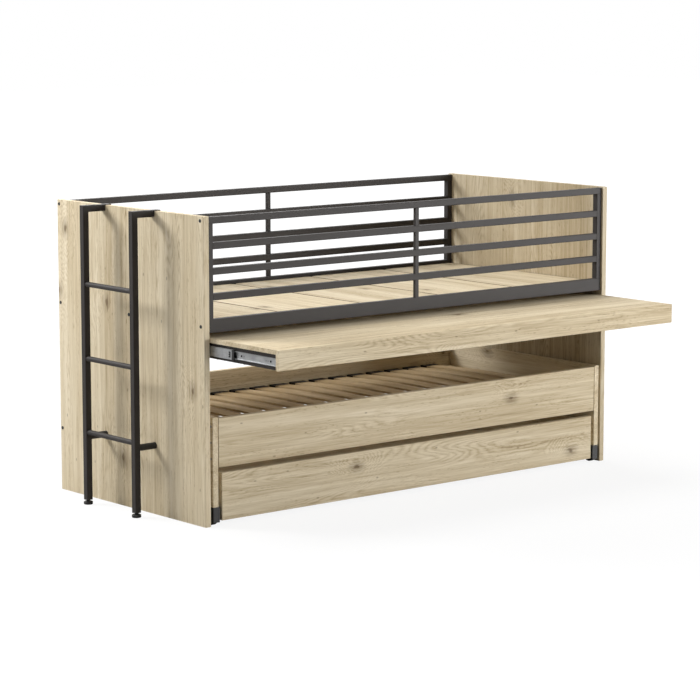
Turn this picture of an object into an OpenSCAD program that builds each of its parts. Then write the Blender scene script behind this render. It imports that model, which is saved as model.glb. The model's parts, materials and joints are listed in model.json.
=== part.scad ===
// Low children's bed with a pull-out desk, a roll-out lower bed and a long drawer.
// Millimetres. X runs along the bed from the ladder end, Y from the front to the
// wall, Z up. The origin is on the floor, below the middle of the whole object.

/* [Bed] */
// Length of the bed over the end panels
bed_w = 2060; // [1700:10:2400]
// Depth of the end panels
bed_d = 945; // [850:5:1200]
// Height of the end panels
bed_h = 1140; // [1050:5:1300]
// Thickness of the end panels
panel_t = 24; // [18:1:32]

/* [Guard rails] */
// Side of the square guard tube
guard_tube = 25; // [20:1:32]
// Wall of the guard tubes
guard_wall = 1.5; // [1:0.1:3]
// Height of the bottom beam of a guard
guard_beam_h = 50; // [40:1:60]
// Open height between two bars
guard_gap = 68; // [55:1:75]
// Drop of the guard below the top of the panels
guard_drop = 4; // [0:1:10]
// Front guard behind the front edge of the panels
guard_setback = 8; // [0:1:20]
// Width of the middle post
mid_post_w = 20; // [15:1:25]
// Depth of the middle post
mid_post_t = 12; // [8:1:20]

/* [Upper deck] */
// Thickness of the deck boards
deck_t = 24; // [16:1:26]
// Deck surface below the top of the beams
deck_drop = 14; // [8:1:20]
// Number of deck boards
deck_boards = 5; // [3:1:8]
// Gap between two deck boards
deck_joint = 4; // [0.5:0.5:8]
// Radius of the corners of a deck board
deck_corner_r = 30; // [10:1:60]

/* [Desk] */
// Depth of the desk from its front board to its rear edge
desk_d = 600; // [520:5:700]
// Gap between the desk surface and the guard beam above it
desk_beam_gap = 18; // [8:1:60]
// Height of the desk's front board
desk_front_h = 74; // [60:1:100]
// Thickness of the desk top
desk_top_t = 16; // [12:1:22]
// Thickness of the desk's front board
desk_front_t = 16; // [12:1:22]
// Width of the steel rails under the desk top
desk_rail_w = 20; // [15:1:30]
// How far the desk is pulled out
desk_out = 397; // [150:1:500]

/* [Drawer slides] */
// Length of the cabinet and desk members
slide_len = 550; // [520:5:600]
// Height of the cabinet member
slide_h = 45; // [43:1:48]
// Thickness of the whole slide
slide_t = 12.7; // [12.2:0.1:13.4]
// Diameter of the slide balls
ball_d = 3.5; // [3.2:0.1:3.7]
// Balls in each row
row_balls = 8; // [3:1:12]

/* [Lower bed] */
// Gap between the lower bed and an end panel
trundle_side_gap = 11; // [6:1:20]
// Gap between the lower bed and the rear stretcher
trundle_back_gap = 8; // [4:1:100]
// Height of the top edge of its sides
trundle_h = 403; // [380:1:450]
// Thickness of its boards
trundle_t = 24; // [16:1:28]
// Underside of its side boards above the floor
side_z = 70; // [64:1:80]
// Underside of its front and back boards above the floor
trundle_front_z = 216; // [210:1:230]
// Number of slats
slats = 17; // [13:1:18]
// Gap between a side board and the nearest slat
slat_end_gap = 100.8; // [40:0.2:140]
// Width of a slat
slat_w = 70; // [50:1:80]
// Thickness of a slat
slat_t = 8; // [6:1:12]
// Rise of a slat in the middle
slat_crown = 14; // [5:1:20]
// Diameter of the lower bed's wheels
wheel_d = 50; // [44:1:54]

/* [Drawer] */
// Height of the drawer front
drawer_front_h = 178; // [150:1:180]
// Underside of the drawer front above the floor
drawer_front_z = 17; // [10:1:20]
// How much shorter the drawer is than the lower bed
drawer_short = 32; // [10:1:300]
// Thickness of the drawer's box boards
drawer_t = 16; // [12:1:20]
// Diameter of the drawer's wheels
drawer_wheel_d = 40; // [34:1:42]

/* [Ladder] */
// Side of the square ladder tube
ladder_tube = 25; // [20:1:32]
// Clear space between ladder and panel
ladder_gap = 75; // [50:1:100]
// Distance between the middles of the stiles
ladder_pitch = 318; // [280:1:380]
// Middle of the lowest rung above the floor
rung_z = 280; // [250:1:285]
// Distance from rung to rung
rung_pitch = 283; // [240:1:285]
// Diameter of a rung
rung_d = 20; // [16:1:24]
// Diameter of a levelling foot
foot_d = 35; // [28:1:45]

/* [Hidden] */

$fn = 48;

// Colours of the finishes
oak = "BurlyWood";
steel = "DimGray";
zinc = "Silver";
black = "#202020";
slat_wood = "Peru";
core_wood = "Wheat";

// One overrun for every cut, and the small gap where a piece seats in another
cut = 1;
fit = 0.3;

// Eased edges of the boards, and their smaller copy on thin boards
edge_r = 1.5;

// Tubes: corner radius and the tapped plate that closes an end
tube_r = 2;
end_plate_t = 6;

// Inner faces of the end panels
in_left = panel_t;
in_right = bed_w - panel_t;
in_w = in_right - in_left;

// Heights of the guards, from the top rail down
guard_top = bed_h - guard_drop;
bar_step = guard_tube + guard_gap;
bars = 3;
beam_top = guard_top - (bars + 1) * bar_step;
beam_z = beam_top - guard_beam_h;
front_guard_y = guard_setback;
back_guard_y = bed_d - guard_tube;

// Deck boards lie between the beams, on a steel angle welded to each
deck_top = beam_top - deck_drop;
deck_z = deck_top - deck_t;
deck_front_y = front_guard_y + guard_tube + fit;
deck_back_y = back_guard_y - fit;
deck_len = deck_back_y - deck_front_y;
deck_w = (in_w - 2 * fit - (deck_boards - 1) * deck_joint) / deck_boards;
ledge_w = 25;
ledge_t = 3;

// Rear stretcher, low down between the panels
stretcher_z = 220;
stretcher_h = 50;

// Connecting bolts: shank, head, the sunk seat of the head, and the cap over it
bolt_r = 3;
bolt_play = 0.2;
head_r = 5.3;
head_t = 4;
seat_r = 5.7;
seat_depth = 5.5;
cap_r = 6.8;
cap_t = 1.4;
cap_peg = 1.2;
bolt_grip = 18;
dowel_r = 5;
dowel_depth = 20;

// Bolt places on a panel, as depth and height
bolt_places = [
    [front_guard_y + guard_tube / 2, guard_top - guard_tube / 2],
    [front_guard_y + guard_tube / 2, beam_z + guard_beam_h / 2],
    [back_guard_y + guard_tube / 2, guard_top - guard_tube / 2],
    [back_guard_y + guard_tube / 2, beam_z + guard_beam_h / 2],
    [back_guard_y + guard_tube / 2, stretcher_z + stretcher_h / 2],
    [bed_d / 2, deck_z + deck_t / 2]];
tube_bolts = 5;

// Ladder: the tubes stand off the left panel, the arms reach over its top
hook_t = 3;
hook_lip = 25;
ladder_x = -ladder_gap - ladder_tube;
ladder_mid_x = ladder_x + ladder_tube / 2;
ladder_top = bed_h + hook_t;
ladder_wall = 1.5;
stile_front_y = bed_d / 2 - ladder_pitch / 2;
stile_back_y = bed_d / 2 + ladder_pitch / 2;
rungs = 3;
rung_wall = 1.5;
spacer_r = 12.5;
spacer_wall = 2;
spacer_z = 262;

// Levelling feet: a moulded disc on a threaded stem in a plug
foot_h = 12;
foot_r = 3;
stem_r = 4;
stem_play = 0.05;
stem_top = 52;
stile_z = 20;
plug_flange_t = 2;
plug_in = 28;
plug_play = 0.1;

// Desk: closed it stands flush with the panels' front edges
desk_side_gap = 4;
desk_y = -desk_out;
desk_left = in_left + desk_side_gap;
desk_right = in_right - desk_side_gap;
desk_z = beam_z - desk_beam_gap;
desk_z0 = desk_z - desk_front_h;
rail_top = desk_z - desk_top_t;
rail_h = rail_top - desk_z0;
desk_back_y = desk_y + desk_d;
rail_wall = 1.5;
cross_share = 0.36;
cross_w = 30;
cross_h = 20;

// Slide section, from the cabinet side (x) and from its middle (z)
slide_mid_z = desk_z0 + rail_h / 2;
race_share = 0.13;
race_sink = ball_d * race_share;
row_space = ball_d - 2 * race_sink;
outer_flange = 1.8;
outer_web = 1.5;
mid_flange = 1.5;
mid_web = 1.2;
desk_flange = 1.5;
desk_web = 1.2;
outer_reach = 9.5;
mid_x = 2.6;
mid_reach = 10.9;
desk_x = 5;
outer_in_z = slide_h / 2 - outer_flange;
mid_out_z = outer_in_z - row_space;
mid_in_z = mid_out_z - mid_flange;
desk_out_z = mid_in_z - row_space;
outer_row_z = (outer_in_z + mid_out_z) / 2;
inner_row_z = (mid_in_z + desk_out_z) / 2;
outer_row_x = 5.7;
inner_row_x = 8.4;
ball_play = 0.1;
cage_t = 0.5;
outer_cage_x = (outer_web + mid_x - cage_t) / 2;
inner_cage_x = (mid_x + mid_web + desk_x - cage_t) / 2;
cage_edge = 2.4;
cage_len = 200;
cage_end = 10;
slide_setback = 18;
slide_cab_y = slide_setback;
slide_desk_y = desk_y + desk_front_t + fit;
mid_len = slide_len - 58;
// The middle member trails a little behind half of the desk's travel
mid_lag = 71.5;
slide_mid_y = mid_lag - desk_out / 2;
outer_cage_y = 189 - desk_out / 4;
inner_cage_y = 218 - desk_out * 3 / 4;
clip_len = 13;
hole_r = 2.3;
slot_len = 9;
// Round and long holes of each member, back from its front end
cabinet_rounds = [28, 188, 412];
cabinet_longs = [58, 221, 380];
middle_rounds = [77, 107, 330];
middle_longs = [236, 452];
desk_rounds = [37, 53, 65, 192, 206, 222, 350, 366];
desk_longs = [300, 420];
detent_back = 6;
detent_w = 12;
detent_h = 22;
detent_lobe = detent_h / 8;

// Lower bed
trundle_left = in_left + trundle_side_gap;
trundle_right = in_right - trundle_side_gap;
trundle_in_left = trundle_left + trundle_t;
trundle_in_right = trundle_right - trundle_t;
trundle_in_w = trundle_in_right - trundle_in_left;
trundle_d = back_guard_y - trundle_back_gap;
trundle_front_gap = 3;
trundle_front_drop = 4;
trundle_back_in = trundle_d - trundle_t;
slat_rail_w = 25;
slat_rail_h = 42;
slat_end_z = 308;
slat_rail_top = slat_end_z - 5;
slat_rail_z = slat_rail_top - slat_rail_h;
slat_first = trundle_in_left + slat_end_gap;
slat_pitch = (trundle_in_w - 2 * slat_end_gap - slat_w) / (slats - 1);
slat_play = 0.3;
slat_front_y = trundle_t + 4;
slat_back_y = trundle_back_in - 4;
slat_span = slat_back_y - slat_front_y;
slat_curve_r = (slat_span * slat_span / 4 + slat_crown * slat_crown) / (2 * slat_crown);
slat_fn = 720;
cap_wall = 2;
slat_cap_len = 38;
slat_cap_h = 16;
slat_cap_gap = 0.3;

// Castor housings at the four corners of the lower bed
housing_w = 30;
housing_len = 60;
housing_z = 12;
housing_wall = 3.5;
wheel_w = 20;
axle_r = 3;
axle_play = 0.05;
tyre_r = 3;
wheel_dish = 3;
wheel_hub_r = 8;
wheel_rim = 5;
wheel_side_play = 0.8;
well_play = 3.5;

// Drawer
drawer_side_gap = 17;
drawer_left = trundle_in_left + drawer_side_gap;
drawer_right = trundle_in_right - drawer_side_gap;
drawer_front_t = 24;
drawer_d = trundle_d - drawer_short;
drawer_box_inset = 14;
drawer_box_z = 38;
drawer_box_top_drop = 15;
drawer_box_left = drawer_left + drawer_box_inset;
drawer_box_right = drawer_right - drawer_box_inset;
drawer_box_top = drawer_front_z + drawer_front_h - drawer_box_top_drop;
drawer_base_t = 8;
drawer_base_z = 48;
groove = 6;
bracket_t = 3;
bracket_w = 40;
bracket_len = 60;
bracket_inset = 25;
cheek_w = 3;
drawer_wheel_w = 18;
drawer_axle_r = 2.5;
drawer_dish = 2;
drawer_hub_r = 6;
drawer_rim = 4;
drawer_tyre_r = 2;
drawer_castors = 3;

// The outer box of the whole object puts the origin below its middle
low_x = min(0, ladder_mid_x - foot_d / 2, ladder_x);
high_x = bed_w + cap_t;
mid_all_x = (low_x + high_x) / 2;
mid_all_y = (desk_y + bed_d) / 2;

// Puts a piece, drawn from the left panel's front bottom corner, in the frame
module in_frame() {
    translate([-mid_all_x, -mid_all_y, 0]) children();
}

// Rectangle with round corners, from its own corner
module round_rect(w, h, r) {
    translate([r, 0]) square([w - 2 * r, h]);
    translate([0, r]) square([w, h - 2 * r]);
    for (x = [r, w - r], y = [r, h - r]) translate([x, y]) circle(r);
}

// Carries a flat section along X, its own x and y becoming Y and Z
module along_x(len) {
    rotate([90, 0, 90]) linear_extrude(len) children();
}

// Carries a flat section along Y, its own x and y becoming X and Z
module along_y(len) {
    translate([0, len, 0]) rotate([90, 0, 0]) linear_extrude(len) children();
}

// Section of a rectangular tube
module tube_section(w, h, wall) {
    difference() {
        round_rect(w, h, tube_r);
        translate([wall, wall]) round_rect(w - 2 * wall, h - 2 * wall, tube_r - wall / 2);
    }
}

// Tube along X with a tapped plate closing each end
module plated_tube(len, w, h, wall) {
    difference() {
        along_x(len) round_rect(w, h, tube_r);
        translate([end_plate_t, wall, wall])
            along_x(len - 2 * end_plate_t) round_rect(w - 2 * wall, h - 2 * wall, tube_r - wall / 2);
        for (x = [-cut, len - end_plate_t - cut])
            translate([x, w / 2, h / 2]) rotate([0, 90, 0]) cylinder(r = bolt_r + bolt_play, h = end_plate_t + 2 * cut);
    }
}

// Left piece and its mirror image at the right end
module both_ends() {
    children();
    translate([bed_w, 0, 0]) mirror([1, 0, 0]) children();
}

// End panel with the sunk seats and bores of its bolts, drawn for the left end
module end_panel() {
    difference() {
        linear_extrude(bed_h) round_rect(panel_t, bed_d, edge_r);
        for (p = bolt_places) translate([0, p[0], p[1]]) rotate([0, 90, 0]) {
            translate([0, 0, -cut]) cylinder(r = seat_r, h = seat_depth + cut);
            cylinder(r = bolt_r + bolt_play, h = panel_t + cut);
        }
    }
}

module left_end_panel() {
    color(oak) in_frame() end_panel();
}

module right_end_panel() {
    color(oak) in_frame() translate([bed_w, 0, 0]) mirror([1, 0, 0]) end_panel();
}

// Guard pieces, drawn with the guard's outer face at y = 0
module guard_beam(y) {
    translate([in_left, y, beam_z]) plated_tube(in_w, guard_tube, guard_beam_h, guard_wall);
}

module guard_top_rail(y) {
    translate([in_left, y, guard_top - guard_tube]) plated_tube(in_w, guard_tube, guard_tube, guard_wall);
}

module guard_bars(y) {
    for (i = [1 : bars]) translate([in_left + guard_tube, y, guard_top - guard_tube - i * bar_step])
        along_x(in_w - 2 * guard_tube) tube_section(guard_tube, guard_tube, guard_wall);
}

// Two end posts on the beam, and a narrow middle post in short lengths between the bars
module guard_posts(y, mid_y) {
    post_h = guard_top - guard_tube - beam_top;
    for (x = [in_left, in_right - guard_tube]) translate([x, y, beam_top])
        linear_extrude(post_h) tube_section(guard_tube, guard_tube, guard_wall);
    for (i = [0 : bars]) translate([bed_w / 2 - mid_post_w / 2, mid_y, beam_top + i * bar_step])
        linear_extrude(guard_gap) tube_section(mid_post_w, mid_post_t, guard_wall);
}

module front_guard_beam() {
    color(steel) in_frame() guard_beam(front_guard_y);
}

module front_guard_top_rail() {
    color(steel) in_frame() guard_top_rail(front_guard_y);
}

module front_guard_bars() {
    color(steel) in_frame() guard_bars(front_guard_y);
}

module front_guard_posts() {
    color(steel) in_frame() guard_posts(front_guard_y, front_guard_y);
}

module back_guard_beam() {
    color(steel) in_frame() guard_beam(back_guard_y);
}

module back_guard_top_rail() {
    color(steel) in_frame() guard_top_rail(back_guard_y);
}

module back_guard_bars() {
    color(steel) in_frame() guard_bars(back_guard_y);
}

module back_guard_posts() {
    color(steel) in_frame() guard_posts(back_guard_y, bed_d - mid_post_t);
}

// Deck board i of the row; the first and last are bored for a bolt and its cross dowel
module deck_board(i) {
    difference() {
        translate([in_left + fit + i * (deck_w + deck_joint), deck_front_y, deck_z])
            linear_extrude(deck_t) round_rect(deck_w, deck_len, min(deck_corner_r, deck_w / 3));
        both_ends() {
            translate([in_left, bed_d / 2, deck_z + deck_t / 2]) rotate([0, 90, 0])
                cylinder(r = bolt_r + bolt_play, h = dowel_depth + dowel_r);
            translate([in_left + dowel_depth, bed_d / 2, deck_z - cut])
                cylinder(r = dowel_r + bolt_play, h = cut + deck_t * 3 / 4);
        }
    }
}

module deck_board_1() {
    color(oak) in_frame() deck_board(0);
}

module deck_board_2() {
    color(oak) in_frame() deck_board(1);
}

module deck_board_3() {
    color(oak) in_frame() deck_board(2);
}

module deck_board_4() {
    color(oak) in_frame() deck_board(3);
}

// The last board, with any further ones that a larger count asks for
module deck_board_5() {
    color(oak) in_frame() for (i = [4 : max(4, deck_boards - 1)]) deck_board(i);
}

// Steel angle under the deck, welded to the inner face of a beam
module ledge_section() {
    square([ledge_t, deck_z - beam_z]);
    translate([0, deck_z - beam_z - ledge_t]) square([ledge_w, ledge_t]);
}

module deck_ledges() {
    ledge_len = in_w - 2 * fit;
    color(steel) in_frame() {
        translate([in_left + fit, front_guard_y + guard_tube, beam_z]) along_x(ledge_len) ledge_section();
        translate([in_left + fit, back_guard_y, beam_z]) mirror([0, 1, 0]) along_x(ledge_len) ledge_section();
    }
}

module rear_stretcher() {
    color(steel) in_frame() translate([in_left, back_guard_y, stretcher_z])
        plated_tube(in_w, guard_tube, stretcher_h, guard_wall);
}

// One connecting bolt, its head down in the panel's outer face
module frame_bolt(grip) {
    rotate([0, 90, 0]) {
        translate([0, 0, seat_depth - head_t]) cylinder(r = head_r, h = head_t);
        translate([0, 0, seat_depth]) cylinder(r = bolt_r, h = panel_t - seat_depth + grip);
    }
}

module frame_bolts() {
    color(zinc) in_frame() both_ends() {
        for (i = [0 : tube_bolts]) translate([0, bolt_places[i][0], bolt_places[i][1]])
            frame_bolt(i < tube_bolts ? bolt_grip : dowel_depth - dowel_r - bolt_play);
        translate([in_left + dowel_depth, bed_d / 2, deck_z + deck_t / 4 - bolt_play])
            cylinder(r = dowel_r, h = deck_t / 2);
    }
}

module bolt_caps() {
    color(black) in_frame() both_ends() for (p = bolt_places) translate([0, p[0], p[1]]) rotate([0, 90, 0]) {
        translate([0, 0, -cap_t]) cylinder(r1 = cap_r - cap_t / 2, r2 = cap_r, h = cap_t);
        cylinder(r = seat_r - bolt_play, h = cap_peg);
    }
}

// Slide sections: flanges carry half-round races for the balls
module race(x, z) {
    for (s = [-1, 1]) translate([x, s * z]) circle(ball_d / 2 + ball_play);
}

module cabinet_section() {
    difference() {
        translate([0, -slide_h / 2]) square([outer_reach, slide_h]);
        translate([outer_web, -outer_in_z]) square([outer_reach, 2 * outer_in_z]);
        race(outer_row_x, outer_row_z);
    }
}

module middle_section() {
    difference() {
        translate([mid_x, -mid_out_z]) square([mid_reach - mid_x, 2 * mid_out_z]);
        translate([mid_x + mid_web, -mid_in_z]) square([mid_reach, 2 * mid_in_z]);
        race(outer_row_x, outer_row_z);
        race(inner_row_x, inner_row_z);
    }
}

module desk_section() {
    difference() {
        translate([desk_x, -desk_out_z]) square([slide_t - desk_x, 2 * desk_out_z]);
        translate([desk_x - cut, desk_flange - desk_out_z])
            square([slide_t - desk_web - desk_x + cut, 2 * (desk_out_z - desk_flange)]);
        race(inner_row_x, inner_row_z);
    }
}

// Round holes for screws, and long ones for setting the desk level, through the web of a member
module web_holes(rounds, longs) {
    translate([-cut, 0, 0]) rotate([0, 90, 0]) linear_extrude(slide_t + 2 * cut) {
        for (y = rounds) translate([0, y]) circle(hole_r);
        for (y = longs) translate([0, y]) {
            for (s = [-1, 1]) translate([0, s * (slot_len / 2 - hole_r)]) circle(hole_r);
            square([2 * hole_r, slot_len - 2 * hole_r], center = true);
        }
    }
}

// Puts a slide piece, drawn for the left end, at its place along the travel
module left_slide(y) {
    translate([in_left, y, slide_mid_z]) children();
}

module right_slide(y) {
    translate([bed_w, 0, 0]) mirror([1, 0, 0]) left_slide(y) children();
}

module cabinet_member() {
    difference() {
        along_y(slide_len) cabinet_section();
        web_holes(cabinet_rounds, cabinet_longs);
    }
}

module left_slide_cabinet_member() {
    color(zinc) in_frame() left_slide(slide_cab_y) cabinet_member();
}

module right_slide_cabinet_member() {
    color(zinc) in_frame() right_slide(slide_cab_y) cabinet_member();
}

// Outline of the detent finger: a bar with three round lobes, grown by the play around it
module detent_outline(play) {
    for (s = [-1, 0, 1]) translate([s * (detent_h / 2 - detent_lobe), detent_w - detent_lobe])
        circle(detent_lobe + play);
    translate([-detent_h / 2 - play, -play])
        square([detent_h + 2 * play, detent_w - detent_lobe * 3 / 2 + 2 * play]);
}

// The web of the middle member has a window near its front end for the detent finger
module middle_member() {
    difference() {
        along_y(mid_len) middle_section();
        translate([mid_x - cut, detent_back, 0]) rotate([0, 90, 0])
            linear_extrude(mid_web + 2 * cut) detent_outline(fit);
        web_holes(middle_rounds, middle_longs);
    }
}

module left_slide_middle_member() {
    color(zinc) in_frame() left_slide(slide_mid_y) middle_member();
}

module right_slide_middle_member() {
    color(zinc) in_frame() right_slide(slide_mid_y) middle_member();
}

// Black end clip across the front of a middle member, and the finger in its window
module slide_clip() {
    translate([0, -clip_len, 0]) along_y(clip_len) difference() {
        translate([mid_x, -mid_out_z]) square([mid_reach - mid_x, 2 * mid_out_z]);
        translate([mid_x + mid_web, -mid_in_z]) square([mid_reach, 2 * mid_in_z]);
    }
    translate([mid_x, detent_back, 0]) rotate([0, 90, 0]) linear_extrude(mid_web) detent_outline(0);
}

module slide_end_clips() {
    color(black) in_frame() {
        left_slide(slide_mid_y) slide_clip();
        right_slide(slide_mid_y) slide_clip();
    }
}

// Place along the cage of ball i
function ball_y(i) = cage_end + i * (cage_len - 2 * cage_end) / (row_balls - 1);

// Bent strip with a round hole for each ball of its upper and lower row
module ball_cage(x, row_x, row_z) {
    difference() {
        translate([x, 0, -row_z - cage_t / 2]) cube([row_x + cage_edge - x, cage_len, 2 * row_z + cage_t]);
        translate([x + cage_t, -cut, cage_t / 2 - row_z])
            cube([slide_t, cage_len + 2 * cut, 2 * row_z - cage_t]);
        for (i = [0 : row_balls - 1]) translate([row_x, ball_y(i), -slide_h / 2])
            cylinder(r = ball_d / 2 + ball_play, h = slide_h);
    }
}

module ball_rows(row_x, row_z) {
    for (i = [0 : row_balls - 1], s = [-1, 1]) translate([row_x, ball_y(i), s * row_z]) sphere(d = ball_d);
}

module outer_ball_cages() {
    color(zinc) in_frame() {
        left_slide(outer_cage_y) ball_cage(outer_cage_x, outer_row_x, outer_row_z);
        right_slide(outer_cage_y) ball_cage(outer_cage_x, outer_row_x, outer_row_z);
    }
}

module outer_balls() {
    color("White") in_frame() {
        left_slide(outer_cage_y) ball_rows(outer_row_x, outer_row_z);
        right_slide(outer_cage_y) ball_rows(outer_row_x, outer_row_z);
    }
}

module inner_ball_cages() {
    color(zinc) in_frame() {
        left_slide(inner_cage_y) ball_cage(inner_cage_x, inner_row_x, inner_row_z);
        right_slide(inner_cage_y) ball_cage(inner_cage_x, inner_row_x, inner_row_z);
    }
}

module inner_balls() {
    color("White") in_frame() {
        left_slide(inner_cage_y) ball_rows(inner_row_x, inner_row_z);
        right_slide(inner_cage_y) ball_rows(inner_row_x, inner_row_z);
    }
}

module desk_member() {
    difference() {
        along_y(slide_len) desk_section();
        web_holes(desk_rounds, desk_longs);
    }
}

module left_slide_desk_member() {
    color(zinc) in_frame() left_slide(slide_desk_y) desk_member();
}

module right_slide_desk_member() {
    color(zinc) in_frame() right_slide(slide_desk_y) desk_member();
}

// Desk: a thin top behind a taller front board, on a frame of steel rails
module desk_top() {
    color(oak) in_frame() translate([desk_left, desk_y + desk_front_t, rail_top])
        cube([desk_right - desk_left, desk_d - desk_front_t, desk_top_t]);
}

module desk_front() {
    color(oak) in_frame() translate([desk_left, desk_y, desk_z0])
        along_x(desk_right - desk_left) round_rect(desk_front_t, desk_front_h, edge_r);
}

desk_rail_left = in_left + slide_t;
desk_rail_len = desk_d - desk_front_t - desk_rail_w;

module desk_side_rails() {
    color(steel) in_frame() both_ends() translate([desk_rail_left, desk_y + desk_front_t, desk_z0])
        along_y(desk_rail_len - fit) tube_section(desk_rail_w, rail_h, rail_wall);
}

// Rear rail across the whole frame, and two flat tubes under the top
module desk_cross_rails() {
    color(steel) in_frame() {
        translate([desk_rail_left, desk_back_y - desk_rail_w, desk_z0])
            along_x(bed_w - 2 * desk_rail_left) tube_section(desk_rail_w, rail_h, rail_wall);
        for (x = [bed_w * cross_share, bed_w * (1 - cross_share)])
            translate([x - cross_w / 2, desk_y + desk_front_t, rail_top - cross_h])
                along_y(desk_rail_len - fit) tube_section(cross_w, cross_h, rail_wall);
    }
}

// Lower bed: side boards down to the castors, front and back boards between them
module trundle_side() {
    translate([trundle_left, 0, side_z]) linear_extrude(trundle_h - side_z) round_rect(trundle_t, trundle_d, edge_r);
}

module trundle_left_side() {
    color(oak) in_frame() trundle_side();
}

module trundle_right_side() {
    color(oak) in_frame() translate([bed_w, 0, 0]) mirror([1, 0, 0]) trundle_side();
}

module trundle_front() {
    front_h = trundle_h - trundle_front_drop - trundle_front_z;
    color(oak) in_frame() translate([trundle_in_left + trundle_front_gap, 0, trundle_front_z])
        along_x(trundle_in_w - 2 * trundle_front_gap) round_rect(trundle_t, front_h, edge_r);
}

module trundle_back() {
    color(oak) in_frame() translate([trundle_in_left, trundle_back_in, trundle_front_z])
        along_x(trundle_in_w) round_rect(trundle_t, trundle_h - trundle_front_z, edge_r);
}

module trundle_slat_rails() {
    color(core_wood) in_frame() for (y = [trundle_t, trundle_back_in - slat_rail_w])
        translate([trundle_in_left, y, slat_rail_z]) cube([trundle_in_w, slat_rail_w, slat_rail_h]);
}

// Side view of a bowed slat, grown by a clearance on its faces
module slat_side(play) {
    intersection() {
        translate([slat_span / 2, slat_crown - slat_curve_r]) difference() {
            circle(slat_curve_r + slat_t + play, $fn = slat_fn);
            circle(slat_curve_r - play, $fn = slat_fn);
        }
        translate([-play, -slat_span]) square([slat_span + 2 * play, 2 * slat_span]);
    }
}

module trundle_slats() {
    color(slat_wood) in_frame() for (i = [0 : slats - 1])
        translate([slat_first + i * slat_pitch, slat_front_y, slat_end_z]) along_x(slat_w) slat_side(0);
}

// Black cap on a slat's end, open towards the middle of the bed
module slat_cap() {
    difference() {
        translate([-cap_wall - slat_play, slat_cap_gap - slat_front_y + trundle_t, slat_rail_top - slat_end_z])
            cube([slat_w + 2 * cap_wall + 2 * slat_play, slat_cap_len, slat_cap_h]);
        translate([-slat_play, 0, 0]) along_x(slat_w + 2 * slat_play) slat_side(slat_play);
    }
}

module slat_end_caps() {
    color(black) in_frame() for (i = [0 : slats - 1]) translate([slat_first + i * slat_pitch, 0, slat_end_z]) {
        translate([0, slat_front_y, 0]) slat_cap();
        translate([0, slat_back_y, 0]) mirror([0, 1, 0]) slat_cap();
    }
}

// Castor housing under a corner of a side board, open below for the wheel
module castor_housing() {
    wheel_r = wheel_d / 2;
    difference() {
        translate([0, 0, housing_z]) linear_extrude(side_z - housing_z)
            round_rect(housing_w, housing_len, edge_r);
        translate([(housing_w - wheel_w) / 2 - wheel_side_play, housing_wall, housing_z - cut])
            cube([wheel_w + 2 * wheel_side_play, housing_len - 2 * housing_wall, wheel_d - housing_z + well_play]);
        translate([-cut, housing_len / 2, wheel_r]) rotate([0, 90, 0])
            cylinder(r = axle_r + axle_play, h = housing_w + 2 * cut);
    }
}

// Puts a piece at the castors of the lower bed: all of them, or one pair by its depth
module at_castors(depths) {
    both_ends() for (y = depths) translate([trundle_left, y, 0]) children();
}

front_castor_y = 0;
back_castor_y = trundle_d - housing_len;

module trundle_castor_housings() {
    color(black) in_frame() at_castors([front_castor_y, back_castor_y]) castor_housing();
}

module trundle_castor_axles() {
    color(zinc) in_frame() at_castors([front_castor_y, back_castor_y])
        translate([0, housing_len / 2, wheel_d / 2]) rotate([0, 90, 0]) cylinder(r = axle_r, h = housing_w);
}

// Moulded wheel along X, dished between hub and rim, with a rounded tread
module wheel(d, w, hub, rim, dish, tread_r, bore) {
    r = d / 2;
    rotate([0, 90, 0]) rotate_extrude($fn = 96) difference() {
        union() {
            translate([bore, 0]) square([r - bore - tread_r, w]);
            translate([bore, tread_r]) square([r - bore, w - 2 * tread_r]);
            for (y = [tread_r, w - tread_r]) translate([r - tread_r, y]) circle(tread_r);
        }
        for (y = [-cut, w - dish]) translate([hub, y]) square([r - rim - hub, dish + cut]);
    }
}

module trundle_wheel() {
    translate([(housing_w - wheel_w) / 2, housing_len / 2, wheel_d / 2])
        wheel(wheel_d, wheel_w, wheel_hub_r, wheel_rim, wheel_dish, tyre_r, axle_r + axle_play);
}

module trundle_front_wheels() {
    color(black) in_frame() at_castors([front_castor_y]) trundle_wheel();
}

module trundle_back_wheels() {
    color(black) in_frame() at_castors([back_castor_y]) trundle_wheel();
}

// Drawer: a long front on a grooved box with a thin bottom
module drawer_front() {
    color(oak) in_frame() translate([drawer_left, 0, drawer_front_z])
        along_x(drawer_right - drawer_left) round_rect(drawer_front_t, drawer_front_h, edge_r);
}

drawer_side_len = drawer_d - drawer_front_t;

module drawer_side() {
    difference() {
        translate([drawer_box_left, drawer_front_t, drawer_box_z])
            cube([drawer_t, drawer_side_len, drawer_box_top - drawer_box_z]);
        translate([drawer_box_left + drawer_t - groove, 0, drawer_base_z - fit])
            cube([groove + cut, drawer_d + cut, drawer_base_t + 2 * fit]);
    }
}

module drawer_sides() {
    color(core_wood) in_frame() both_ends() drawer_side();
}

module drawer_back() {
    back_z = drawer_base_z + drawer_base_t;
    color(core_wood) in_frame() translate([drawer_box_left + drawer_t, drawer_d - drawer_t, back_z])
        cube([drawer_box_right - drawer_box_left - 2 * drawer_t, drawer_t, drawer_box_top - back_z]);
}

module drawer_bottom() {
    inset = drawer_t - groove + fit;
    color(core_wood) in_frame() translate([drawer_box_left + inset, drawer_front_t + fit, drawer_base_z])
        cube([drawer_box_right - drawer_box_left - 2 * inset, drawer_side_len - fit, drawer_base_t]);
}

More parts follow.
